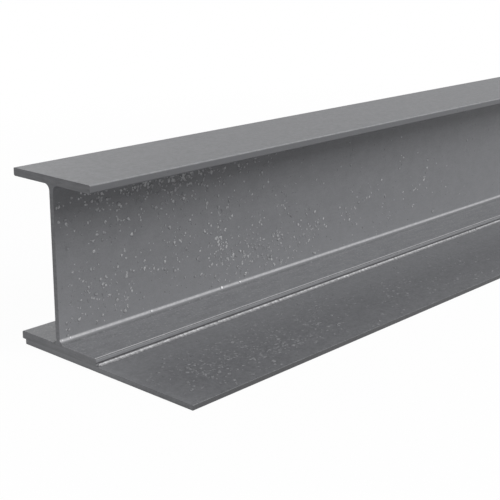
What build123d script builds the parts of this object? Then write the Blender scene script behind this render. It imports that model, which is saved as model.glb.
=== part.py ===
from build123d import *
import os

# Steel cavity lintel: a rolled universal beam carries the inner leaf of a wall, and the
# wider flat plate welded under it carries the outer leaf.
# Sizes are in millimetres. +X runs along the lintel, +Z is up, and the plate projects
# towards -Y. The origin is on the plate's underside, in the middle of the lintel.

# Length of the lintel as it is sold
lintel_length = 1800.0

# Rolled section of the beam, 203 x 133 at 30 kg/m
beam_depth = 206.8
flange_width = 133.9
flange_thickness = 9.6
web_thickness = 6.4
root_radius = 7.6
inner_toe_radius = 2.2
outer_toe_radius = 0.8

# Flat plate under the beam
plate_width = 280.0
plate_thickness = 6.0
plate_edge_radius = 0.5

# The far flange tip overhangs the plate's far edge, which leaves a notch for the welds
far_overhang = 6.0

# Continuous fillet weld along the near flange tip
near_weld_leg = 4.0
near_weld_crown = 0.5
near_weld_end_margin = 1.5

# Stitch welds in the notch. Each stops short of the flange tip and the plate's underside.
far_weld_clearance = 1.5
far_weld_crown = 0.4
stitch_length = 100.0
stitch_pitch = 300.0
stitch_end_margin = 50.0

# Places along Y and Z that follow from the sizes
overall_width = far_overhang + plate_width
far_tip_y = overall_width / 2
near_tip_y = far_tip_y - flange_width
beam_centre_y = far_tip_y - flange_width / 2
plate_far_y = far_tip_y - far_overhang
plate_centre_y = plate_far_y - plate_width / 2
plate_top_z = plate_thickness
beam_centre_z = plate_top_z + beam_depth / 2
channel_depth = (flange_width - web_thickness) / 2
channel_height = beam_depth - 2 * flange_thickness

os.makedirs("parts", exist_ok=True)


def across(start_x):
    """The plane across the lintel at start_x, with its own x along +Y and its y up."""
    return Plane.YZ.offset(start_x)


# The beam is one rolled piece: its full depth and width, less the channel on each side
# of the web. Rolling leaves a round root where a flange meets the web, a round inner toe
# at each flange tip and a much sharper outer toe.
channel_offset = (web_thickness + channel_depth) / 2
channel_floor_z = beam_centre_z - channel_height / 2
channel_roof_z = beam_centre_z + channel_height / 2
near_channel = (beam_centre_y - channel_offset, beam_centre_z)
far_channel = (beam_centre_y + channel_offset, beam_centre_z)


def channel_corners(section):
    """The section's corners on the channels, grouped from the near tips to the far ones."""
    on_channels = section.vertices().filter_by_position(Axis.Y, channel_floor_z, channel_roof_z)
    return on_channels.group_by(Axis.X)


with BuildPart() as universal_beam:
    with BuildSketch(across(-lintel_length / 2)) as beam_section:
        with Locations((beam_centre_y, beam_centre_z)):
            Rectangle(flange_width, beam_depth)
        fillet(beam_section.vertices(), outer_toe_radius)
        with Locations(near_channel, far_channel):
            Rectangle(channel_depth, channel_height, mode=Mode.SUBTRACT)
        near_tips, near_roots, far_roots, far_tips = channel_corners(beam_section)
        fillet(near_roots + far_roots, root_radius)
        corners = channel_corners(beam_section)
        fillet(corners[0] + corners[-1], inner_toe_radius)
    extrude(amount=lintel_length)

universal_beam.part.label = "universal_beam"
export_step(universal_beam.part, "parts/universal_beam.step")


# The plate is one flat, square cut at the ends, with its long edges just broken.
with BuildPart() as bottom_plate:
    with BuildSketch(across(-lintel_length / 2)):
        with Locations((plate_centre_y, plate_thickness / 2)):
            RectangleRounded(plate_width, plate_thickness, plate_edge_radius)
    extrude(amount=lintel_length)

bottom_plate.part.label = "bottom_plate"
export_step(bottom_plate.part, "parts/bottom_plate.step")


# The near weld fills the corner between the plate's top and the flange tip, round the
# flange's outer toe, with a slightly crowned face.
near_weld_length = lintel_length - 2 * near_weld_end_margin

with BuildPart() as near_weld:
    with BuildSketch(across(-near_weld_length / 2)):
        with BuildLine():
            toe_centre = (near_tip_y + outer_toe_radius, plate_top_z + outer_toe_radius)
            flange_toe = CenterArc(toe_centre, outer_toe_radius, 180, 90)
            on_tip = Line(flange_toe @ 0, (near_tip_y, plate_top_z + near_weld_leg))
            on_plate = Line(flange_toe @ 1, (near_tip_y - near_weld_leg, plate_top_z))
            SagittaArc(on_plate @ 1, on_tip @ 1, near_weld_crown)
        make_face()
    extrude(amount=near_weld_length)

near_weld.part.label = "near_weld"
export_step(near_weld.part, "parts/near_weld.step")


# The stitch welds fill the notch between the flange's underside and the plate's far edge.
# As many as fit at the pitch are spread evenly about the middle of the lintel.
stitch_room = lintel_length - 2 * stitch_end_margin - stitch_length
stitch_count = int(stitch_room // stitch_pitch) + 1
first_stitch_x = -((stitch_count - 1) * stitch_pitch + stitch_length) / 2
far_weld_width = far_overhang - far_weld_clearance
far_weld_drop = plate_thickness - far_weld_clearance

for stitch in range(stitch_count):
    with BuildPart() as far_weld:
        with BuildSketch(across(first_stitch_x + stitch * stitch_pitch)):
            with BuildLine():
                edge_centre = (plate_far_y - plate_edge_radius, plate_top_z - plate_edge_radius)
                plate_edge = CenterArc(edge_centre, plate_edge_radius, 0, 90)
                on_edge = Line(plate_edge @ 0, (plate_far_y, plate_top_z - far_weld_drop))
                on_flange = Line(plate_edge @ 1, (plate_far_y + far_weld_width, plate_top_z))
                SagittaArc(on_flange @ 1, on_edge @ 1, far_weld_crown)
            make_face()
        extrude(amount=stitch_length)
    stitch_name = f"far_stitch_weld_{stitch + 1}"
    far_weld.part.label = stitch_name
    export_step(far_weld.part, f"parts/{stitch_name}.step")
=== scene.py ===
# %% [markdown]
# # A steel cavity lintel
# The lintel is a rolled I-beam standing on a wider flat plate. A run of weld joins the plate
# to the near flange tip, and short stitches join it under the far one. The solids come
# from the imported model, and stay exactly as they are. This file gives them their
# finishes, lays the rippled weld beads, and scatters small raised specks of scale.

# %% Load the lintel
import math

import bpy
import numpy as np
from mathutils import Matrix, Vector


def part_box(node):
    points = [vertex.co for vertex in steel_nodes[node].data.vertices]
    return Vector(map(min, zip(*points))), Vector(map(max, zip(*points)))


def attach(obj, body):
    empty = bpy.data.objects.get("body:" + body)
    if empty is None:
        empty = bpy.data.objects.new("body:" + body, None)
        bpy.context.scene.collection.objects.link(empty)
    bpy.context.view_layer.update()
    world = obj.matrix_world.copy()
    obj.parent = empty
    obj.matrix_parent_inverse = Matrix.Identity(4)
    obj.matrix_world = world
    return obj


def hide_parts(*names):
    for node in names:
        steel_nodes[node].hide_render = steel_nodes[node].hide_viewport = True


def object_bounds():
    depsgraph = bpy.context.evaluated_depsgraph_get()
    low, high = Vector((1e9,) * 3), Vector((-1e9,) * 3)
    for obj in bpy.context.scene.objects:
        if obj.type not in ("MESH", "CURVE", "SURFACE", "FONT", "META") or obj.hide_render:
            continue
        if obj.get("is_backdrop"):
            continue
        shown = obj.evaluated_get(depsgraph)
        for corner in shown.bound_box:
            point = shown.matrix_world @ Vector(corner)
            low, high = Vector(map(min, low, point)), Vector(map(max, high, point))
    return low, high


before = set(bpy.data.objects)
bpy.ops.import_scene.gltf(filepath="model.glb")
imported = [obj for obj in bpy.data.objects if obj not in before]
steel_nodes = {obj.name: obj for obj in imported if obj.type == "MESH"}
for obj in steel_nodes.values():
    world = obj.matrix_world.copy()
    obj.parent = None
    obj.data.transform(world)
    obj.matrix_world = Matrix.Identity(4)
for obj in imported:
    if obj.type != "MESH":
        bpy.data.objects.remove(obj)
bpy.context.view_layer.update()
print("the lintel's pieces:", sorted(steel_nodes))

# %% [markdown]
# ## Sizes
# The places of everything below are worked out from the boxes of the beam and the plate,
# so that a bead or a speck always sits on the steel that carries it. Only the sizes that a
# box can't tell, such as the web's thickness, are written here, in metres.

# %% Sizes and places
MM = 0.001
beam_low, beam_high = (np.array(corner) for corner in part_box("universal_beam"))
plate_low, plate_high = (np.array(corner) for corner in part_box("bottom_plate"))
near_low, near_high = (np.array(corner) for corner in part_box("near_weld"))

flange_thickness = 9.6 * MM
web_thickness = 6.4 * MM
root_radius = 7.6 * MM
inner_toe_radius = 2.2 * MM
outer_toe_radius = 0.8 * MM
plate_edge_radius = 0.5 * MM

end_x = beam_low[0]
near_tip_y = beam_low[1]
far_tip_y = beam_high[1]
web_y = (near_tip_y + far_tip_y) / 2
plate_top_z = plate_high[2]
lower_flange_top_z = plate_top_z + flange_thickness
upper_flange_under_z = beam_high[2] - flange_thickness
print("web centre", round(web_y, 5), "lower flange top", round(lower_flange_top_z, 5))

# %% [markdown]
# ## The camera
# The camera stands where the photograph was taken from. It could be placed by eye, but
# straight steel gives its place away: the long edges run to one vanishing point, and the
# lengths of the end's edges are known, so its place, direction and lens were worked out
# from them. It is set by its heading from the lintel's length, its downward tilt, a very
# small roll, and its offset from the foot of the near end, under the web.

# %% Camera
PHOTO_PIXELS = 500
CLIP_END = 60
heading = math.radians(42.263)
tilt = math.radians(16.319)
roll = math.radians(0.263)
focal_pixels = 1133.2
camera_offset = Vector((-753.3, -981.6, 485.8)) * MM

level_ahead = Vector((math.cos(heading), math.sin(heading), 0))
forward = level_ahead * math.cos(tilt) - Vector((0, 0, math.sin(tilt)))
level_right = Vector((math.sin(heading), -math.cos(heading), 0))
level_up = level_right.cross(forward)
right = level_right * math.cos(roll) + level_up * math.sin(roll)
up = level_up * math.cos(roll) - level_right * math.sin(roll)

camera = bpy.data.objects.new("camera", bpy.data.cameras.new("camera"))
bpy.context.scene.collection.objects.link(camera)
camera.matrix_world = Matrix((right, up, -forward)).transposed().to_4x4()
camera.location = Vector((end_x, web_y, plate_low[2])) + camera_offset
camera.data.lens = focal_pixels * camera.data.sensor_width / PHOTO_PIXELS
camera.data.clip_end = CLIP_END
bpy.context.scene.camera = camera
print("camera at", [round(c, 4) for c in camera.location], "lens", round(camera.data.lens, 2))

# %% [markdown]
# ## Building materials out of nodes
# A finish is a small graph of nodes. A few helpers keep the graphs short: one adds a node
# and fills or links its inputs, and the others use it for the sums, smooth steps, mixtures
# and noises that every finish here is made of.

# %% Node helpers
WHITE = (1, 1, 1, 1)


def add(tree, kind, inputs=(), **settings):
    """Adds a node. settings are its properties, and inputs pairs of a socket and a value, or
    of a socket and the output to link to it."""
    node = tree.nodes.new(kind)
    for name, value in settings.items():
        setattr(node, name, value)
    for socket, value in dict(inputs).items():
        if isinstance(value, bpy.types.NodeSocket):
            tree.links.new(value, node.inputs[socket])
        else:
            node.inputs[socket].default_value = value
    return node


def calc(tree, operation, first, second=0.0, clamp=False):
    """The result of one sum, such as ADD, MULTIPLY or ABSOLUTE, on two values."""
    inputs = {0: first, 1: second}
    return add(tree, "ShaderNodeMath", inputs, operation=operation, use_clamp=clamp).outputs[0]


def ramp(tree, value, start, stop, low=0.0, high=1.0):
    """value mapped smoothly from start..stop to low..high, and held beyond them."""
    inputs = {"Value": value, "From Min": start, "From Max": stop, "To Min": low, "To Max": high}
    return add(tree, "ShaderNodeMapRange", inputs, interpolation_type="SMOOTHSTEP").outputs[0]


def tint(tree, share, first, second):
    """A colour between first and second, by share."""
    inputs = {0: share, 6: first, 7: second}
    return add(tree, "ShaderNodeMix", inputs, data_type="RGBA").outputs[2]


def blend(tree, share, first, second):
    """A number between first and second, by share."""
    return add(tree, "ShaderNodeMix", {0: share, 2: first, 3: second}).outputs[0]


def axes(tree, place):
    """The x, y and z of a place."""
    return add(tree, "ShaderNodeSeparateXYZ", {0: place}).outputs


def noise(tree, where, scale, detail=4.0, roughness=0.55):
    """Cloudy noise with that many features to the metre."""
    inputs = {"Vector": where, "Scale": scale, "Detail": detail, "Roughness": roughness}
    return add(tree, "ShaderNodeTexNoise", inputs).outputs["Fac"]


def swing(tree, cloudy, amount, reach=0.2):
    """Noise mapped to -amount..amount, as it goes from reach below its middle to reach above."""
    return ramp(tree, cloudy, 0.5 - reach, 0.5 + reach, -amount, amount)


def new_finish(name):
    """An empty material, its node tree, its shader, and Object coordinates in metres."""
    material = bpy.data.materials.new(name)
    material.use_nodes = True
    tree = material.node_tree
    place = tree.nodes.new("ShaderNodeTexCoord").outputs["Object"]
    return material, tree, tree.nodes["Principled BSDF"], place


# %% [markdown]
# ## The floor, the backdrop and the light
# The object stands on a plain white floor that runs out to a white backdrop, so it seems
# cut out of white paper. Stronger lamps could bleach the floor, but they would bleach the
# steel as well. So the camera is shown a white glow there instead, mixed with a little of
# the real floor, which keeps a soft shadow under the plate.
# One soft lamp high in front of the plate's side lights the web and the tops, a weaker one
# behind lights the far channel, and an even grey glow fills the rest. Their strengths are
# such that a colour renders about as it is written.

# %% Floor and backdrop
FLOOR_REACH = 24.0
FLOOR_GAP = 0.2 * MM
FLOOR_COLOUR = (0.8, 0.8, 0.8, 1)
GLOW_NEAR, GLOW_FAR = 0.97, 1.0
GLOW_GROWS_FROM, GLOW_GROWS_TO = 0.8, 1.8


def seen_directly(tree):
    """1 for rays that come from the camera, a reflection or a view through glass, else 0."""
    path = tree.nodes.new("ShaderNodeLightPath").outputs
    direct = calc(tree, "ADD", path["Is Camera Ray"], path["Is Glossy Ray"])
    return calc(tree, "ADD", direct, path["Is Transmission Ray"], clamp=True)


def make_floor():
    """A flat square just under the plate, white to the camera with a soft shadow."""
    corners = np.array([(-1, -1, 0), (1, -1, 0), (1, 1, 0), (-1, 1, 0)], float) * FLOOR_REACH / 2
    corners[:, 2] = plate_low[2] - FLOOR_GAP
    mesh = bpy.data.meshes.new("floor")
    mesh.from_pydata(corners.tolist(), [], [(0, 1, 2, 3)])
    floor = bpy.data.objects.new("floor", mesh)
    bpy.context.scene.collection.objects.link(floor)
    material, tree, shader, place = new_finish("floor_white")
    shader.inputs["Base Color"].default_value = FLOOR_COLOUR
    shader.inputs["Roughness"].default_value = 0.9
    shader.inputs["Specular IOR Level"].default_value = 0.1
    glow = add(tree, "ShaderNodeEmission", {"Color": WHITE, "Strength": 1.0})
    away = add(tree, "ShaderNodeVectorMath", {0: place}, operation="LENGTH").outputs["Value"]
    share = ramp(tree, away, GLOW_GROWS_FROM, GLOW_GROWS_TO, GLOW_NEAR, GLOW_FAR)
    share = calc(tree, "MULTIPLY", seen_directly(tree), share)
    mixed = add(tree, "ShaderNodeMixShader", {0: share, 1: shader.outputs[0], 2: glow.outputs[0]})
    tree.links.new(mixed.outputs[0], tree.nodes["Material Output"].inputs["Surface"])
    mesh.materials.append(material)
    return floor


make_floor()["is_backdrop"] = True
print("floor", FLOOR_REACH, "m across")

# %% World
AMBIENT = (0.30, 0.30, 0.31, 1)

world = bpy.data.worlds.new("studio")
bpy.context.scene.world = world
world.use_nodes = True
sky = world.node_tree
glow_colour = tint(sky, seen_directly(sky), AMBIENT, WHITE)
sky.links.new(glow_colour, sky.nodes["Background"].inputs["Color"])
print("ambient glow", AMBIENT[:3])

# %% Lamps
LAMP_SIZE = 1.6
LAMP_AIM = (0.0, 0.0, 0.1)
FRONT_PLACE, FRONT_WATTS = (0.0, -2.3, 2.15), 80
BACK_PLACE, BACK_WATTS = (0.0, 2.6, 1.6), 20


def add_lamp(name, place, watts):
    """A square soft lamp at place, turned to the lintel."""
    data = bpy.data.lights.new(name, "AREA")
    data.size = LAMP_SIZE
    data.energy = watts
    lamp = bpy.data.objects.new(name, data)
    bpy.context.scene.collection.objects.link(lamp)
    lamp.location = place
    lamp.rotation_euler = (Vector(LAMP_AIM) - Vector(place)).to_track_quat("-Z", "Y").to_euler()


add_lamp("front_lamp", FRONT_PLACE, FRONT_WATTS)
add_lamp("back_lamp", BACK_PLACE, BACK_WATTS)
bpy.context.scene.view_settings.view_transform = "Standard"

# %% [markdown]
# ## The steel
# Hot-rolled steel leaves the mill with a thin dark scale. It is faintly clouded, with a fine
# grain and streaks in the rolling direction. A finish could be painted as a picture, but
# the scale has no picture, only habits, so it is built here from noise. It starts with one
# number, the tone, from 0 for the darkest scale to 1 for the palest, and the clouds, grain
# and streaks only push the tone up and down a little.

# %% Mottled scale
SCALE_DARK = (0.100, 0.102, 0.108, 1)
SCALE_PALE = (0.247, 0.250, 0.260, 1)
SCALE_METALLIC = 0.12
CLOUD_SWING, GRAIN_SWING, STREAK_SWING = 0.05, 0.09, 0.025
RELIEF_STRENGTH = 0.3
RELIEF_DEPTH = 0.3 * MM


def grain_noise(tree, place):
    """The scale's finest grain, about a millimetre across."""
    return noise(tree, place, 900.0, 3.0, 0.65)


def streaks(tree, place, scale, stretch):
    """Noise drawn out along X, Y or Z: stretch has a number above 1 for the drawn direction."""
    squeezed = tuple(1 / s for s in stretch)
    drawn = add(tree, "ShaderNodeMapping", {"Vector": place, "Scale": squeezed})
    return noise(tree, drawn.outputs[0], scale, 3.0)


def mottle(tree, place, tone, cloud_scale):
    """The tone with clouds, grain and streaks, and the part of it that can be felt as relief."""
    clouds = swing(tree, noise(tree, place, cloud_scale, 6.0, 0.7), CLOUD_SWING)
    grain = swing(tree, grain_noise(tree, place), GRAIN_SWING)
    drawn = swing(tree, streaks(tree, place, 260.0, (6, 1, 1)), STREAK_SWING)
    relief = calc(tree, "ADD", grain, drawn)
    return calc(tree, "ADD", calc(tree, "ADD", tone, clouds), relief, clamp=True), relief


def finish_steel(tree, shader, colour, relief, roughness):
    """Links a colour and a relief to the shader of a scaled steel."""
    inputs = {"Strength": RELIEF_STRENGTH, "Distance": RELIEF_DEPTH, "Height": relief}
    bump = add(tree, "ShaderNodeBump", inputs)
    tree.links.new(colour, shader.inputs["Base Color"])
    tree.links.new(bump.outputs[0], shader.inputs["Normal"])
    shader.inputs["Roughness"].default_value = roughness
    shader.inputs["Metallic"].default_value = SCALE_METALLIC


def wear(node, material):
    """Gives a solid of the lintel its finish, in place of the plain one."""
    mesh = steel_nodes[node].data
    mesh.materials.clear()
    mesh.materials.append(material)


print("the scale runs from", SCALE_DARK[:3], "to", SCALE_PALE[:3])

# %% [markdown]
# Marks that run the whole length, such as a painted highlight on an edge or the dark line
# above a weld, are found by their distance from a line along X. Marks at the sawn ends are
# found by their distance from the nearer end. The finish reads Object coordinates in metres,
# so both can be placed by the section's own sizes, where a picture would have to be fitted to
# them.

# %% Marks along lines and at the ends
def from_line(tree, place, y, z):
    """The distance from a line along X through (y, z)."""
    across = {0: place, 1: (0, 1, 1)}
    flat = add(tree, "ShaderNodeVectorMath", across, operation="MULTIPLY").outputs[0]
    away = add(tree, "ShaderNodeVectorMath", {0: flat, 1: (0, y, z)}, operation="DISTANCE")
    return away.outputs["Value"]


def near_lines(tree, place, lines, radius, fade):
    """1 within radius of any of the lines along X, falling to 0 over fade."""
    total = 0.0
    for y, z in lines:
        mask = ramp(tree, from_line(tree, place, y, z), radius + fade, radius)
        total = calc(tree, "MAXIMUM", mask, total)
    return total


def towards_ends(tree, x, start, stop, low=0.0, high=1.0):
    """low at more than start from the nearer end, rising to high at stop from it."""
    away = calc(tree, "ABSOLUTE", x)
    return ramp(tree, away, beam_high[0] - start, beam_high[0] - stop, low, high)


def paint(tree, colour, mask, strength, over):
    """over laid on colour where mask is 1, as strongly as strength says."""
    return tint(tree, calc(tree, "MULTIPLY", mask, strength), colour, over)


# %% [markdown]
# ## The beam
# The roots are quarter circles, so a mark that runs along one is placed by how far round
# the quarter circle it is from the web. Each lower root has a painted highlight on one narrow
# stripe and painted shade beside it, which damps the lamp's own highlight on the root. The
# flanges' edges have painted highlights too, the lower flange's toes lines of painted shade,
# and the near tip a dark line just above the weld, partly heat tint and partly painted shadow.

# %% Where the beam's marks are
# How far round each root its painted highlight and its painted shade lie.
HIGHLIGHT_TURN = math.radians(23)
SHADE_TURN = math.radians(58)
EDGE_SHARE = 0.8
TINT_AND_SHADOW_LIFT = 0.2 * MM


def on_root(turn, side):
    """The (y, z) of the lower root's surface at that turn from the web, on one side of it."""
    out = web_thickness / 2 + root_radius * (1 - math.cos(turn))
    return web_y + side * out, lower_flange_top_z + root_radius * (1 - math.sin(turn))


def on_tips(inset, z):
    """The two (y, z) at that height, inset from the near and the far flange tip."""
    return [(near_tip_y + inset, z), (far_tip_y - inset, z)]


# Lines along which highlights and shade are painted on the roots and the flange tips, and the
# dark line above the weld, partly heat tint and partly painted shadow.
root_highlight_lines = [on_root(HIGHLIGHT_TURN, side) for side in (-1, 1)]
root_shade_lines = [on_root(SHADE_TURN, side) for side in (-1, 1)]
toe_inset = inner_toe_radius * (1 - math.sqrt(0.5))
lower_edge_highlights = on_tips(inner_toe_radius * EDGE_SHARE, lower_flange_top_z)
lower_toe_shade_lines = on_tips(toe_inset, lower_flange_top_z - toe_inset)
upper_edges = on_tips(0.0, beam_high[2])
heat_tint_and_shadow_line = [(near_tip_y, near_high[2] + TINT_AND_SHADOW_LIFT)]
print("root stripes", np.round(root_highlight_lines, 4).tolist())

# %% [markdown]
# The beam is palest at the foot and darkens with height, a painted shade that stands in for
# the upper flange's shadow on the web, deepest on the upper flange's edge. The top has its own
# tone, clouded at random, and the sawn ends have theirs, paler at the foot and darker towards
# the top. A smooth step over the height gives the web its tone, and three more steps, at the
# upper flange, just under the top and just inside each end, switch to the others.

# %% Tone of the beam
FOOT_Z, FOOT_TONE = -0.02, 0.95
HIGH_Z, HIGH_TONE = 0.175, 0.25
UPPER_FLANGE_PAINTED_SHADE = 0.26
TOP_TONES = (0.19, 0.33)
END_TONES = (0.62, 0.36)
END_TONES_REACH = 0.1


def beam_tone_with_shade(tree, place):
    """A falling smooth step over the height, painted shade that is deepest on the upper flange's
    edge, then the top's and the ends' own tones. Also gives the mask of the ends, 1 on them and
    0 elsewhere."""
    x, _, z = axes(tree, place)
    under = upper_flange_under_z
    # Painted shade: darker with height, standing in for the upper flange's shadow on the web.
    tone = ramp(tree, z, FOOT_Z, HIGH_Z, FOOT_TONE, HIGH_TONE)
    on_top = ramp(tree, z, beam_high[2] - 0.6 * MM, beam_high[2] - 0.1 * MM)
    at_end = towards_ends(tree, x, 0.4 * MM, 0.2 * MM)
    at_upper_flange = ramp(tree, z, under - 1.0 * MM, under + 1.0 * MM)
    # Painted shade, deepest on the upper flange's edge.
    drop = calc(tree, "MULTIPLY", at_upper_flange, UPPER_FLANGE_PAINTED_SHADE)
    top_tone = ramp(tree, noise(tree, place, 170.0, 3.0), 0.35, 0.65, *TOP_TONES)
    tone = blend(tree, on_top, calc(tree, "SUBTRACT", tone, drop), top_tone)
    return blend(tree, at_end, tone, ramp(tree, z, 0.0, END_TONES_REACH, *END_TONES)), at_end


def flange_scuffs(tree, place):
    """Drawn-out rolling marks with grit, and small pale scuffs, both only on the lower
    flange's top."""
    _, _, z = axes(tree, place)
    above = ramp(tree, z, lower_flange_top_z + 2.0 * MM, lower_flange_top_z + 0.5 * MM)
    below = ramp(tree, z, lower_flange_top_z - 1.2 * MM, lower_flange_top_z - 0.4 * MM)
    on_flange = calc(tree, "MULTIPLY", above, below)
    drawn = swing(tree, streaks(tree, place, 110.0, (3, 1, 1)), 0.10, reach=0.15)
    grit = swing(tree, noise(tree, place, 450.0, 3.0), 0.10, reach=0.15)
    scuffs = ramp(tree, noise(tree, place, 300.0, 2.0), 0.54, 0.70)
    rolled = calc(tree, "ADD", drawn, grit)
    return calc(tree, "MULTIPLY", rolled, on_flange), calc(tree, "MULTIPLY", scuffs, on_flange)


def sawn_arris(tree, place):
    """1 on the sawn edge of the lower flange's top at each end, on the plate's side of the
    web."""
    x, y, z = axes(tree, place)
    at_end = towards_ends(tree, x, 1.2 * MM, 0.4 * MM)
    off_top = calc(tree, "ABSOLUTE", calc(tree, "SUBTRACT", z, lower_flange_top_z))
    mask = calc(tree, "MULTIPLY", at_end, ramp(tree, off_top, 1.4 * MM, 0.6 * MM))
    return calc(tree, "MULTIPLY", mask, ramp(tree, y, web_y - 4 * MM, web_y - 12 * MM))


print("tone from", FOOT_TONE, "at the foot to", HIGH_TONE, "high on the web")

# %% Beam finish
# Colours laid over the scale: the pale one for wear and for painted highlights, the bright and
# near-white ones for painted highlights and glints, and the near-black one for dark marks, heat
# tint and painted shade.
WEAR_AND_HIGHLIGHT_PALE = (0.455, 0.455, 0.465, 1)
PAINTED_HIGHLIGHT = (0.80, 0.80, 0.81, 1)
PAINTED_GLINT = (0.97, 0.97, 0.98, 1)
DARK_MARK_AND_SHADE = (0.035, 0.035, 0.037, 1)
SAW_SWING = 0.13


def beam_finish():
    """Mottled scale with saw marks on the ends, painted highlights on the root stripes and the
    edges, painted shade beside them, and a dark line above the weld, partly heat tint and partly
    painted shadow. Each mark is (mask, strength, colour), and they are painted in order."""
    material, tree, shader, place = new_finish("beam_steel")
    tone, at_end = beam_tone_with_shade(tree, place)
    saw_marks = swing(tree, streaks(tree, place, 300.0, (1, 6, 1)), SAW_SWING)
    tone = calc(tree, "ADD", tone, calc(tree, "MULTIPLY", saw_marks, at_end))
    drawn, scuffs = flange_scuffs(tree, place)
    shade, relief = mottle(tree, place, calc(tree, "ADD", tone, drawn), 60.0)
    colour = tint(tree, shade, SCALE_DARK, SCALE_PALE)

    pits = ramp(tree, noise(tree, place, 240.0, 2.0), 0.69, 0.74)
    patchy = ramp(tree, noise(tree, place, 150.0, 4.0, 0.7), 0.35, 0.65, 0.62, 1.0)
    stripes = near_lines(tree, place, root_highlight_lines, 0.8 * MM, 1.2 * MM)
    top_edge_highlights = near_lines(tree, place, upper_edges, 0.9 * MM, 0.9 * MM)
    marks = [
        (pits, 0.45, DARK_MARK_AND_SHADE),
        # Painted shade on each lower root beside its painted highlight, damping the lamp's own
        # highlight there.
        (near_lines(tree, place, root_shade_lines, 1.2 * MM, 2.4 * MM), 0.36, DARK_MARK_AND_SHADE),
        # Painted shade along the rounded toe of each lower flange tip.
        (near_lines(tree, place, lower_toe_shade_lines, 0.3 * MM, 0.5 * MM), 0.65, DARK_MARK_AND_SHADE),
        (scuffs, 0.34, WEAR_AND_HIGHLIGHT_PALE),
        (sawn_arris(tree, place), 0.22, WEAR_AND_HIGHLIGHT_PALE),
        # Painted highlight along a narrow stripe of each lower root.
        (calc(tree, "MULTIPLY", stripes, patchy), 1.0, WEAR_AND_HIGHLIGHT_PALE),
        # Painted highlight along the top edge of each lower flange tip.
        (near_lines(tree, place, lower_edge_highlights, 0.25 * MM, 0.35 * MM), 0.85, PAINTED_HIGHLIGHT),
        # Painted highlight along the upper flange's edges.
        (calc(tree, "MULTIPLY", top_edge_highlights, patchy), 0.40, WEAR_AND_HIGHLIGHT_PALE),
        # Dark line just above the weld: partly heat tint, partly painted shadow of the crevice
        # between tip and bead.
        (near_lines(tree, place, heat_tint_and_shadow_line, 0.4 * MM, 0.8 * MM), 0.75, DARK_MARK_AND_SHADE),
    ]
    for mask, strength, over in marks:
        colour = paint(tree, colour, mask, strength, over)
    finish_steel(tree, shader, colour, relief, roughness=0.52)
    return material


beam_scale = beam_finish()
wear("universal_beam", beam_scale)
print("beam finish:", len(beam_scale.node_tree.nodes), "nodes")

# %% [markdown]
# ## The plate
# The plate is cut from a sheet. It could share the beam's finish, but its scale is darker
# and more finely mottled. It is a little paler beside the bead and paler towards its ends,
# and its two long edges, cut by flame, are nearly black.

# %% Plate finish
OPEN_TONE, NEAR_WELD_TONE = 0.27, 0.66
PALING_REACH = 100 * MM
END_PALING, ARRIS_PALING = 0.16, 0.12


def plate_finish():
    """Mottled scale that is paler beside the weld and at the ends, and dark on the long
    edges."""
    material, tree, shader, place = new_finish("plate_steel")
    x, y, z = axes(tree, place)
    tone = ramp(tree, y, near_low[1] - PALING_REACH, near_low[1], OPEN_TONE, NEAR_WELD_TONE)
    at_end = towards_ends(tree, x, 60 * MM, 8 * MM, 0.0, END_PALING)
    at_arris = towards_ends(tree, x, 10 * MM, 5 * MM, 0.0, ARRIS_PALING)
    tone = calc(tree, "ADD", calc(tree, "ADD", tone, at_end), at_arris)
    marks = swing(tree, noise(tree, place, 230.0, 3.0), 0.08, reach=0.15)
    shade, relief = mottle(tree, place, calc(tree, "ADD", tone, marks), 90.0)
    colour = tint(tree, shade, SCALE_DARK, SCALE_PALE)
    under_top = ramp(tree, z, plate_top_z - 0.2 * MM, plate_top_z - 0.6 * MM)
    near_edge = ramp(tree, y, plate_low[1] + 0.6 * MM, plate_low[1] + 0.3 * MM)
    far_edge = ramp(tree, y, plate_high[1] - 0.6 * MM, plate_high[1] - 0.3 * MM)
    edges = calc(tree, "MULTIPLY", calc(tree, "MAXIMUM", near_edge, far_edge), under_top)
    colour = paint(tree, colour, edges, 0.75, DARK_MARK_AND_SHADE)
    finish_steel(tree, shader, colour, relief, roughness=0.55)
    return material


plate_scale = plate_finish()
wear("bottom_plate", plate_scale)
print("plate finish:", len(plate_scale.node_tree.nodes), "nodes")

# %% [markdown]
# ## Weld beads
# A weld bead is laid as a row of small overlapping pools, so its face is a row of
# crescent ripples, like fallen coins. It could be made of hundreds of separate rings, but
# they would leave seams, so it is one surface: a profile across the bead, carried along the
# joint. Each ripple is a rise and a quick fall along the run, and its front is bowed,
# because the middle of a pool freezes last.

# %% A bead as a surface
RIPPLE_DRIFT = 0.015
FALL_SHARE = 0.22


def ripple_height(along, across, pitch, bow, rng):
    """Saw-tooth ripples: the phase is the distance along, less a bow that is greatest at the
    bead's middle, over the pitch. The height rises with the square root of the phase's
    fraction, and falls over its last share. A random walk keeps the pitch from being exact."""
    drift = np.cumsum(rng.normal(0, RIPPLE_DRIFT, along.shape[0]))[:, None] * pitch
    phase = (along + drift + bow * (1 - (2 * across - 1) ** 2)) / pitch
    share = phase - np.floor(phase)
    return np.sqrt(share) * np.clip((1 - share) / FALL_SHARE, 0, 1)


def wander(count, step, size, rng):
    """A smooth random wave of that size, of count values, with a new value every step. Between
    two values it follows the smooth step s = t * t * (3 - 2 t)."""
    knots = rng.normal(0, 1, count // step + 3)
    before, along = np.divmod(np.arange(count), step)
    share = along / step
    share = share * share * (3 - 2 * share)
    return (knots[before] * (1 - share) + knots[before + 1] * share) * size


sample = wander(5, 2, 1.0, np.random.default_rng(0))
print("five values of a wander:", np.round(sample, 2).tolist())


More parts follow.
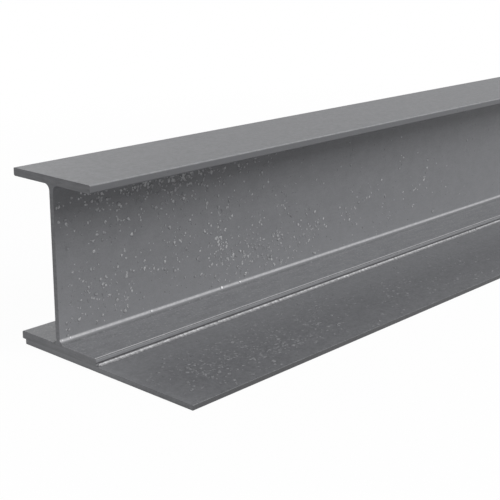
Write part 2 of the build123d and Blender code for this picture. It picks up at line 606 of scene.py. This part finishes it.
# %% Closed beads from profiles
def profile_mesh(name, rings):
    """A closed mesh from rings, an array of sections by points by 3: neighbouring sections are
    joined by quads, and each end is closed by a fan about its middle."""
    sections, points, _ = rings.shape
    row = np.arange(sections - 1)[:, None] * points
    ring = np.arange(points)
    here = ring[None, :]
    after = (here + 1) % points
    corners = [row + here, row + after, row + points + after, row + points + here]
    quads = np.stack(corners, -1).reshape(-1, 4)
    middles = np.stack([rings[0].mean(0), rings[-1].mean(0)])
    first = sections * points
    last = (sections - 1) * points
    start_fan = np.stack([ring, np.full(points, first), np.roll(ring, -1)], -1)
    end_fan = np.stack([last + np.roll(ring, -1), np.full(points, first + 1), last + ring], -1)
    vertices = np.concatenate([rings.reshape(-1, 3), middles])
    faces = quads.tolist() + start_fan.tolist() + end_fan.tolist()
    mesh = bpy.data.meshes.new(name)
    mesh.from_pydata(vertices.tolist(), [], faces)
    mesh.validate()
    return mesh


def place_piece(mesh, material, smooth):
    """A new object at the origin for a finished mesh, riding on the lintel. smooth says
    whether its faces are shaded as one rounded surface or left as flat facets."""
    mesh.polygons.foreach_set("use_smooth", np.full(len(mesh.polygons), smooth))
    mesh.materials.append(material)
    piece = bpy.data.objects.new(mesh.name, mesh)
    bpy.context.scene.collection.objects.link(piece)
    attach(piece, "root")
    return piece


# %% [markdown]
# The bead's profile starts where it meets the plate, bulges over its crowned face to
# where it meets the flange tip, and comes back along the steel behind it. The crown is
# a sine bulge on the straight line between the two toes, pushed out along that line's
# normal. The ends taper into the corner, as the first and last pools do, and the first
# pools stand a little proud, because a weld starts on cold steel.

# %% A bead in a corner
FACE_POINTS = 15
BEAD_STEP = 0.55 * MM
WANDER_STEP = 7
TAPER_LEGS = 0.9
TAPER_FLOOR = 0.02
START_SWELL = 0.7
START_SWELL_AT, START_SWELL_SPREAD = 3.2 * MM, 2.4 * MM


def bead_rings(
    start, stop, corner, out, lift, leg_out, leg_lift, crown, ripple, pitch, back, uneven, seed
):
    """Sections of a fillet bead along X from start to stop. corner is the joint's (y, z), out
    and lift the unit directions of its two walls, and back the (y, z) points behind the bead.
    The sections are turned round where that is needed for the faces to point outward."""
    rng = np.random.default_rng(seed)
    count = int(round((stop - start) / BEAD_STEP)) + 1
    x = np.linspace(start, stop, count)[:, None]
    across = np.linspace(0, 1, FACE_POINTS)[None, :]
    arch = np.sin(np.pi * across)
    from_tip = np.minimum(x - start, stop - x)
    taper = np.sqrt(np.clip(from_tip / (TAPER_LEGS * leg_out), TAPER_FLOOR, 1))
    width = (1 + wander(count, WANDER_STEP, uneven, rng))[:, None] * taper
    swell = 1 + START_SWELL * np.exp(-(((x - start - START_SWELL_AT) / START_SWELL_SPREAD) ** 2))
    ripples = ripple_height(x, across, pitch, 0.5 * pitch, rng)
    bulge = taper * (crown * swell * arch + ripple * ripples * arch ** 0.5)
    normal = np.array([leg_lift, leg_out]) / math.hypot(leg_lift, leg_out)
    along_out = leg_out * (1 - across) * width + bulge * normal[0]
    along_lift = leg_lift * across * width + bulge * normal[1]
    face_y = corner[0] + along_out * out[0] + along_lift * lift[0]
    face_z = corner[1] + along_out * out[1] + along_lift * lift[1]
    face = np.stack([np.broadcast_to(x, face_y.shape), face_y, face_z], -1)
    rear = np.zeros((count, len(back), 3))
    rear[:, :, 0] = x
    rear[:, :, 1:] = back[None]
    rings = np.concatenate([face, rear], 1)
    clockwise = out[0] * lift[1] < out[1] * lift[0]
    return rings[:, ::-1] if clockwise else rings


print("a bead has", FACE_POINTS, "points across its face, every", BEAD_STEP / MM, "mm")

# %% Weld finish
BEAD_DARK = (0.13, 0.13, 0.135, 1)
BEAD_HIGHLIGHT = (0.585, 0.585, 0.595, 1)


def weld_finish():
    """A painted highlight along the middle of each bead's face, duller with soft clouds towards
    both toes, and a dark band along the near bead's upper side, partly heat tint and partly
    painted shadow."""
    material, tree, shader, place = new_finish("weld_metal")
    clouds = ramp(tree, noise(tree, place, 190.0, 3.0), 0.36, 0.60)
    near_away = from_line(tree, place, near_tip_y - 1.6 * MM, plate_top_z + 2.6 * MM)
    far_away = from_line(tree, place, plate_high[1] + 2.4 * MM, plate_top_z - 2.4 * MM)
    away = calc(tree, "MINIMUM", near_away, far_away)
    # Painted highlight along the middle of each bead's face.
    bright = ramp(tree, away, 1.4 * MM, 0.5 * MM, 0.22, 1.0)
    clouded = calc(tree, "ADD", calc(tree, "MULTIPLY", clouds, 0.4), 0.6)
    colour = tint(tree, calc(tree, "MULTIPLY", bright, clouded), BEAD_DARK, BEAD_HIGHLIGHT)
    _, _, z = axes(tree, place)
    # Dark band along the near bead's upper side: partly heat tint, partly painted shadow of the
    # crevice at the tip.
    upper_side = ramp(tree, z, plate_top_z + 3.0 * MM, plate_top_z + 3.5 * MM)
    colour = paint(tree, colour, upper_side, 0.6, DARK_MARK_AND_SHADE)
    tree.links.new(colour, shader.inputs["Base Color"])
    tree.links.new(ramp(tree, clouds, 0.0, 1.0, 0.60, 0.50), shader.inputs["Roughness"])
    shader.inputs["Metallic"].default_value = 0.25
    return material


weld_metal = weld_finish()
print("weld finish:", len(weld_metal.node_tree.nodes), "nodes")

# %% The near bead
def round_corner(edge_y, side, radius, turns):
    """The (y, z) points of a rounded corner of steel that a bead seats on, at those turns round
    it. side is 1 for the flange's toe, above the plate's top, and -1 for the plate's edge."""
    y = edge_y + side * radius * (1 - np.cos(turns))
    z = plate_top_z + side * radius * (1 - np.sin(turns))
    return np.stack([y, z], -1)


near_rings = bead_rings(
    near_low[0], near_high[0], corner=(near_tip_y, plate_top_z), out=(-1, 0), lift=(0, 1),
    leg_out=3.7 * MM, leg_lift=3.6 * MM, crown=0.4 * MM, ripple=0.85 * MM, pitch=7.2 * MM,
    back=round_corner(near_tip_y, 1, outer_toe_radius, np.linspace(0, math.pi / 2, 4)),
    uneven=0.11, seed=7,
)
near_mesh = profile_mesh("near_weld_bead", near_rings)
near_bead = place_piece(near_mesh, weld_metal, smooth=True)
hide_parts("near_weld")
print("near bead", len(near_bead.data.polygons), "faces")

# %% The stitches under the far tip
STITCH_FILL = 0.97
STITCH_SEED = 20

stitches = sorted(name for name in steel_nodes if name.startswith("far_stitch_weld"))
for index, stitch in enumerate(stitches):
    low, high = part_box(stitch)
    rings = bead_rings(
        low[0], high[0], corner=(plate_high[1], plate_top_z), out=(0, -1), lift=(1, 0),
        leg_out=(plate_top_z - low[2]) * STITCH_FILL,
        leg_lift=(high[1] - plate_high[1]) * STITCH_FILL,
        crown=0.3 * MM, ripple=0.45 * MM, pitch=4.2 * MM,
        back=round_corner(plate_high[1], -1, plate_edge_radius, np.linspace(math.pi / 2, 0, 3)),
        uneven=0.03, seed=STITCH_SEED + index,
    )
    mesh = profile_mesh(stitch + "_bead", rings)
    bead = place_piece(mesh, weld_metal, smooth=True)
    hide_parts(stitch)
print("stitch beads", len(stitches))

# %% [markdown]
# ## Scale specks
# Small hard specks of scale, two to six millimetres across, stand on the web in loose
# drifts, with flatter ones on the plate. They could be bumps in the finish, but a bump has
# no outline and throws no shadow, so each is a low mound of its own, with an uneven outline
# and a broken top, and is left faceted. All the specks of one face are worked out at once,
# as arrays: an angle around and a radius out, stretched and turned by random amounts, and
# joined in one mesh.

# %% A field of specks
SPECK_SIDES = 8
RADIUS_RANGE = (0.60, 1.3)
SQUEEZE_RANGE = (0.6, 1.0)
SHOULDER_LIFTS = (0.45, 1.0)
SHOULDER_SHARE = 0.62
TOP_OFFSET = 0.25
FOOT_DEPTH, UNDER_DEPTH = 0.05 * MM, 0.12 * MM


def speck_field(name, centres, sizes, heights, across, along, outward, rng):
    """Closed low mounds on a flat face. centres are (n, 3), across and along the face's unit
    directions, and outward its normal. A mound has a foot ring just under the face, a shoulder
    ring of uneven height at over half its width, a top off its middle and a point underneath.
    The attribute "risen" is 0 on the foot and 1 from the shoulder up."""
    count = len(centres)
    sides = np.linspace(0, 2 * np.pi, SPECK_SIDES, endpoint=False)
    turn = sides[None, :] + rng.uniform(0, 2 * np.pi, (count, 1))
    radius = sizes[:, None] * rng.uniform(*RADIUS_RANGE, (count, SPECK_SIDES))
    squeeze = rng.uniform(*SQUEEZE_RANGE, (count, 1))
    lean = rng.uniform(0, np.pi, (count, 1))
    long_way = radius * np.cos(turn)
    short_way = radius * np.sin(turn) * squeeze
    side = long_way * np.cos(lean) - short_way * np.sin(lean)
    rise = long_way * np.sin(lean) + short_way * np.cos(lean)
    flat = side[..., None] * across + rise[..., None] * along
    lift = heights[:, None] * rng.uniform(*SHOULDER_LIFTS, (count, SPECK_SIDES))
    middle = centres[:, None]
    foot = middle + flat - outward * FOOT_DEPTH
    shoulder = middle + flat * SHOULDER_SHARE + outward * lift[..., None]
    top = middle + flat[:, :1] * TOP_OFFSET + outward * heights[:, None, None]
    under = middle - outward * UNDER_DEPTH
    vertices = np.concatenate([foot, shoulder, top, under], 1)

    here = np.arange(SPECK_SIDES)
    after = (here + 1) % SPECK_SIDES
    top_index = np.full(SPECK_SIDES, 2 * SPECK_SIDES)
    skirt = np.stack([here, after, after + SPECK_SIDES, here + SPECK_SIDES], -1)
    cap = np.stack([here + SPECK_SIDES, after + SPECK_SIDES, top_index], -1)
    base = np.stack([after, here, top_index + 1], -1)
    offsets = np.arange(count)[:, None, None] * (2 * SPECK_SIDES + 2)
    quads = (skirt[None] + offsets).reshape(-1, 4)
    triangles = (np.concatenate([cap, base])[None] + offsets).reshape(-1, 3)
    mesh = bpy.data.meshes.new(name)
    faces = quads.tolist() + triangles.tolist()
    mesh.from_pydata(vertices.reshape(-1, 3).tolist(), [], faces)
    risen = np.concatenate([np.zeros(SPECK_SIDES), np.ones(SPECK_SIDES + 1), np.zeros(1)])
    attribute = mesh.attributes.new("risen", "FLOAT", "POINT")
    attribute.data.foreach_set("value", np.tile(risen, count))
    return mesh


print("a speck has", 3 * SPECK_SIDES, "faces")

# %% Drifts of specks
CLUMP_SPREAD = 8.0 * MM
EDGE_MARGIN = 4 * MM


def drift_places(drifts, low, high, rng):
    """Places on a flat rectangle, in metres. Each drift is (from_end, height, long_spread,
    high_spread, count) in millimetres, and its places gather in small clumps, two to a clump
    on average. Places that fall outside the rectangle are left out."""
    low, high = np.array(low), np.array(high)
    places = []
    for from_end, height, long_spread, high_spread, count in drifts:
        middle = np.array([low[0] + from_end * MM, height * MM])
        spread = np.array([long_spread, high_spread]) * MM
        clumps = middle + rng.normal(0, 1, (count // 2, 2)) * spread
        owner = rng.integers(0, len(clumps), count)
        places.append(clumps[owner] + rng.normal(0, CLUMP_SPREAD, (count, 2)))
    places = np.concatenate(places)
    return places[((places > low) & (places < high)).all(1)]


def speck_sizes(count, typical, spread, largest, rng):
    """Random sizes about the typical one, whose logarithms have that spread, cut off at the
    largest."""
    return np.minimum(rng.lognormal(math.log(typical), spread, count), largest)


# %% Speck finish
LOW_TONE, MIDDLE_TONE = 0.58, 0.26
UNDER_FLANGE_PAINTED_LIGHT = 0.50
SPECK_SWING = 0.42


def speck_finish(name, dark, pale):
    """Pale dry scale, mottled from speck to speck, with a dark rim. It is darker with height, and
    paler just under the upper flange, painted light against that flange's shadow."""
    material, tree, shader, place = new_finish(name)
    _, _, z = axes(tree, place)
    tone = ramp(tree, z, 0.08, 0.14, LOW_TONE, MIDDLE_TONE)
    # Painted light: specks paler just under the upper flange, where its shadow falls.
    tone = calc(tree, "ADD", tone, ramp(tree, z, 0.165, 0.180, 0.0, UNDER_FLANGE_PAINTED_LIGHT))
    uneven = swing(tree, noise(tree, place, 160.0, 2.0), SPECK_SWING)
    tone = calc(tree, "ADD", tone, uneven, clamp=True)
    risen = add(tree, "ShaderNodeAttribute", attribute_name="risen").outputs["Fac"]
    off_rim = ramp(tree, risen, 0.10, 0.60)
    colour = tint(tree, off_rim, DARK_MARK_AND_SHADE, tint(tree, tone, dark, pale))
    finish_steel(tree, shader, colour, grain_noise(tree, place), roughness=0.66)
    return material


web_flakes = speck_finish("web_speck", (0.15, 0.153, 0.16, 1), (0.405, 0.408, 0.415, 1))
plate_flakes = speck_finish("plate_speck", (0.11, 0.113, 0.12, 1), (0.288, 0.291, 0.298, 1))
print("speck finishes:", web_flakes.name, plate_flakes.name)

# %% Specks on the web
X_AXIS = np.array([1.0, 0, 0])
Y_AXIS = np.array([0, 1.0, 0])
Z_AXIS = np.array([0, 0, 1.0])
WEB_DRIFTS = [
    (25, 60, 28, 20, 60), (35, 140, 30, 30, 54), (90, 56, 40, 20, 100), (165, 184, 80, 9, 520),
    (120, 115, 45, 30, 38), (185, 70, 38, 30, 70), (175, 150, 55, 18, 100), (262, 114, 7, 7, 18),
    (255, 94, 6, 7, 25), (260, 74, 6, 7, 25), (272, 54, 7, 7, 25), (290, 145, 50, 25, 64),
    (320, 56, 38, 20, 144), (365, 68, 42, 30, 88), (420, 58, 38, 24, 70), (470, 110, 60, 40, 30),
    (530, 55, 55, 30, 60), (650, 55, 60, 40, 68), (900, 100, 360, 90, 112),
]
web_low = (beam_low[0] + EDGE_MARGIN, lower_flange_top_z + root_radius)
web_high = (beam_high[0] - EDGE_MARGIN, upper_flange_under_z - root_radius)


def web_specks(name, side, drifts, seed):
    """Specks on one face of the web: side is -1 for the plate's side and 1 for the other."""
    rng = np.random.default_rng(seed)
    flat = drift_places(drifts, web_low, web_high, rng)
    face_y = web_y + side * web_thickness / 2
    centres = np.stack([flat[:, 0], np.full(len(flat), face_y), flat[:, 1]], -1)
    sizes = speck_sizes(len(flat), 1.75 * MM, 0.36, 3.0 * MM, rng)
    heights = sizes * rng.uniform(0.14, 0.34, len(flat))
    mesh = speck_field(name, centres, sizes, heights, -side * X_AXIS, Z_AXIS, side * Y_AXIS, rng)
    return place_piece(mesh, web_flakes, smooth=False)


near_specks = web_specks("near_web_specks", -1, WEB_DRIFTS, 11)
far_specks = web_specks("far_web_specks", 1, WEB_DRIFTS[:3] + WEB_DRIFTS[-2:], 12)
print("web specks", len(near_specks.data.polygons), len(far_specks.data.polygons), "faces")

# %% Bright specks on the near root
ROOT_SPECKS = [(3.5, 1.35), (15, 1.3), (142, 2.1), (268, 2.2), (303, 1.8)]
ROOT_SPECK_RISE = 0.6


def root_specks(name, specks, seed):
    """A few round bright specks on the near root's painted highlight stripe, their near-white
    colour a painted glint. Each speck is (from_end, size), in millimetres."""
    rng = np.random.default_rng(seed)
    y, z = root_highlight_lines[0]
    centres = np.array([(end_x + from_end * MM, y, z) for from_end, _ in specks])
    sizes = np.array([size for _, size in specks]) * MM
    heights = sizes * ROOT_SPECK_RISE
    outward = np.array([0, -math.cos(HIGHLIGHT_TURN), math.sin(HIGHLIGHT_TURN)])
    upward = np.cross(outward, X_AXIS)
    mesh = speck_field(name, centres, sizes, heights, X_AXIS, upward, outward, rng)
    # Painted glints: near-white colours on the root specks.
    glint_finish = speck_finish("root_speck", PAINTED_HIGHLIGHT, PAINTED_GLINT)
    return place_piece(mesh, glint_finish, smooth=True)


bright_specks = root_specks("root_specks", ROOT_SPECKS, 14)
print("root specks", len(bright_specks.data.polygons), "faces")

# %% Specks on the plate
PLATE_DRIFTS = [
    (30, 60, 36, 30, 44), (60, 40, 26, 24, 62), (85, 84, 34, 28, 92), (120, 60, 31, 26, 118),
    (170, 45, 29, 24, 108), (185, 84, 36, 28, 96), (230, 65, 30, 24, 100), (300, 55, 36, 30, 90),
    (320, 95, 36, 30, 64), (420, 75, 48, 34, 84), (520, 80, 60, 34, 90), (640, 80, 70, 34, 80),
    (900, 70, 300, 50, 110),
]
open_low = (plate_low[0] + EDGE_MARGIN, EDGE_MARGIN)
open_high = (plate_high[0] - EDGE_MARGIN, near_low[1] - plate_low[1] - EDGE_MARGIN)


def plate_specks(name, drifts, seed):
    """Flat specks on the plate's open top, with their places measured in from its outer edge."""
    rng = np.random.default_rng(seed)
    flat = drift_places(drifts, open_low, open_high, rng)
    top = np.full(len(flat), plate_top_z)
    centres = np.stack([flat[:, 0], plate_low[1] + flat[:, 1], top], -1)
    sizes = speck_sizes(len(flat), 1.8 * MM, 0.35, 3.2 * MM, rng)
    heights = sizes * rng.uniform(0.06, 0.14, len(flat))
    mesh = speck_field(name, centres, sizes, heights, X_AXIS, Y_AXIS, Z_AXIS, rng)
    return place_piece(mesh, plate_flakes, smooth=False)


top_specks = plate_specks("plate_specks", PLATE_DRIFTS, 13)
print("plate specks", len(top_specks.data.polygons), "faces")

# %% [markdown]
# ## The finished lintel
# The box of all that shows is printed. It should be the same as the box of the solids,
# because the beads and the specks all sit within the steel's outline.

# %% The box of the finished lintel
low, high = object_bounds()
print("box", [round(high[i] - low[i], 4) for i in range(3)])
